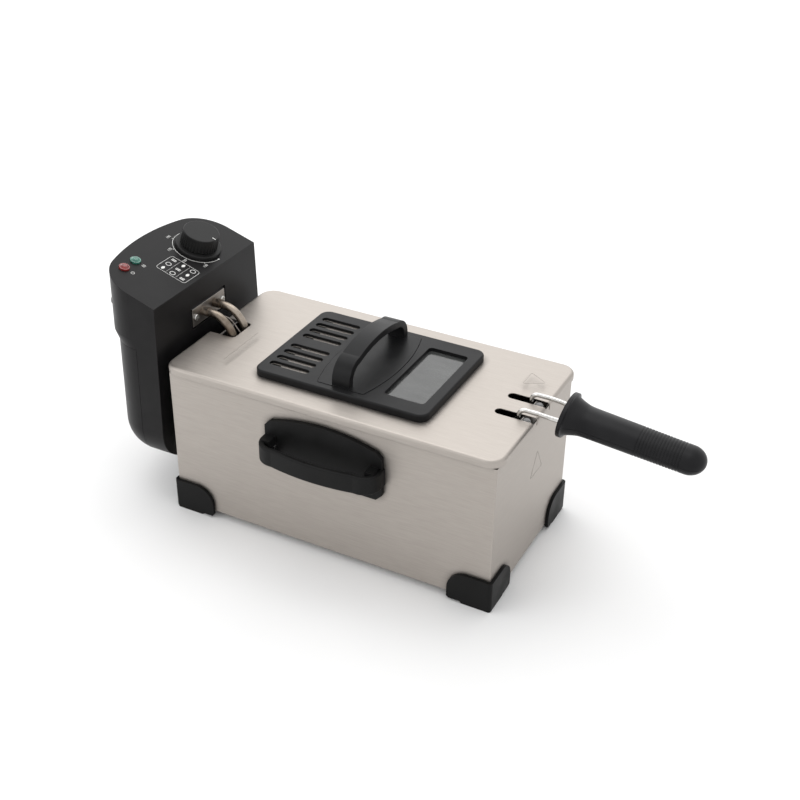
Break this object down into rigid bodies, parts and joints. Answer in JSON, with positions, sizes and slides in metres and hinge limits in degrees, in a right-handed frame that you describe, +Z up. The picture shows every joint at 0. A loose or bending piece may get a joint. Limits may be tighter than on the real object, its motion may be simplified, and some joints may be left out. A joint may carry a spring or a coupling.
{
  "type": "deep fryer",
  "caption": "Small electric deep fryer: stainless housing with lift-out oil tank, wire basket, windowed lid and a lift-off control unit with heater.",
  "frame": {"origin": "On the plane of the feet, under the middle of the whole object's footprint, from the back of the control unit to the end of the basket handle.", "axes": "+Z up; +X along the length towards the basket handle, with the control unit at -X; -Y is the front long side, +Y the rear long side."},
  "size_m": [0.5754, 0.2324, 0.2478],
  "materials": {
    "brushed_stainless": "brushed along its length, satin",
    "plain_stainless": "fine mill finish",
    "foot_plastic": "fine moulded grain",
    "handle_plastic": "satin moulded",
    "control_plastic": "satin, fine spark grain",
    "panel_plastic": "satin, fine spark grain",
    "knob_plastic": "satin moulded",
    "grip_plastic": "soft satin sheen",
    "gland_plastic": "matt",
    "switch_plastic": "matt",
    "terminal_plastic": "matt",
    "plunger_plastic": "smooth",
    "stud_rubber": "matt",
    "gasket_rubber": "matt",
    "zinc_screw": "bright zinc",
    "brass_screw": "bright",
    "heater_steel": "drawn tube, warm tint",
    "capillary_copper": "drawn copper",
    "basket_wire": "bright plated wire",
    "red_lens": "clear tinted",
    "green_lens": "clear tinted",
    "window_glass": "clear, slightly grey"
  },
  "bodies": {
    "housing": {"housing_shell": "brushed_stainless", "base_plate": "plain_stainless", "foot_front_left": "foot_plastic", "foot_front_right": "foot_plastic", "foot_rear_left": "foot_plastic", "foot_rear_right": "foot_plastic", "foot_screws": "zinc_screw", "carry_handle_front": "handle_plastic", "carry_handle_rear": "handle_plastic", "carry_handle_screws": "zinc_screw", "control_rail": "plain_stainless", "rail_rivets": "zinc_screw"},
    "oil_tank": {"oil_tank": "plain_stainless", "drain_studs": "stud_rubber"},
    "control_unit": {"control_housing": "control_plastic", "control_rear_cover": "control_plastic", "cover_screws": "zinc_screw", "cord_gland": "gland_plastic", "control_hooks": "plain_stainless", "hook_screws": "zinc_screw", "element_plate": "plain_stainless", "element_gasket": "gasket_rubber", "plate_screws": "zinc_screw", "element_collars": "heater_steel", "heating_element": "heater_steel", "capillary_tube": "capillary_copper", "thermostat_bulb": "heater_steel", "bulb_clip": "plain_stainless", "thermostat_body": "switch_plastic", "lamp_lens_red": "red_lens", "lamp_lens_green": "green_lens", "lamp_holders": "switch_plastic", "terminal_block": "terminal_plastic", "terminal_screws": "brass_screw", "thermal_cutout": "switch_plastic", "safety_switch": "switch_plastic"},
    "knob": {"thermostat_spindle": "plain_stainless", "dial_knob": "knob_plastic"},
    "reset_button": {"reset_button": "knob_plastic"},
    "switch_plunger": {"switch_plunger": "plunger_plastic"},
    "basket": {"basket_mesh": "basket_wire", "basket_rim": "basket_wire", "basket_ribs": "basket_wire", "basket_bracket": "plain_stainless"},
    "basket_handle": {"handle_wires": "basket_wire", "grip_upper": "grip_plastic", "grip_lower": "grip_plastic", "grip_screws": "zinc_screw"},
    "lid": {"lid_shell": "brushed_stainless", "lid_panel": "panel_plastic", "lid_handle": "panel_plastic", "lid_handle_screws": "zinc_screw", "window_seal": "gasket_rubber", "window_glass": "window_glass"}
  },
  "joints": [
    {"name": "tank_lift", "type": "slide", "parent": "housing", "child": "oil_tank", "axis": [0, 0, 1], "range_m": [0, 0.15]},
    {"name": "control_unit_lift", "type": "slide", "parent": "oil_tank", "child": "control_unit", "axis": [0, 0, 1], "range_m": [0, 0.14]},
    {"name": "knob_turn", "type": "hinge", "parent": "control_unit", "child": "knob", "pos_m": [-0.2441, 0.0305, 0.22439], "axis": [-0.309, 0, -0.9511], "range_deg": [0, 200]},
    {"name": "reset_press", "type": "slide", "parent": "control_unit", "child": "reset_button", "axis": [0.891, 0.454, 0], "range_m": [0, 0.0018], "stiffness_N_per_m": 400, "springref_m": -0.001},
    {"name": "switch_press", "type": "slide", "parent": "control_unit", "child": "switch_plunger", "axis": [-1, 0, 0], "range_m": [0, 0.003], "stiffness_N_per_m": 200, "springref_m": -0.001},
    {"name": "basket_lift", "type": "slide", "parent": "control_unit", "child": "basket", "axis": [0, 0, 1], "range_m": [0, 0.12]},
    {"name": "basket_handle_fold", "type": "hinge", "parent": "basket", "child": "basket_handle", "pos_m": [0.11933, 0, 0.134], "axis": [0, -1, 0], "range_deg": [0, 15]},
    {"name": "lid_lift", "type": "slide", "parent": "basket", "child": "lid", "axis": [0, 0, 1], "range_m": [0, 0.08]}
  ]
}
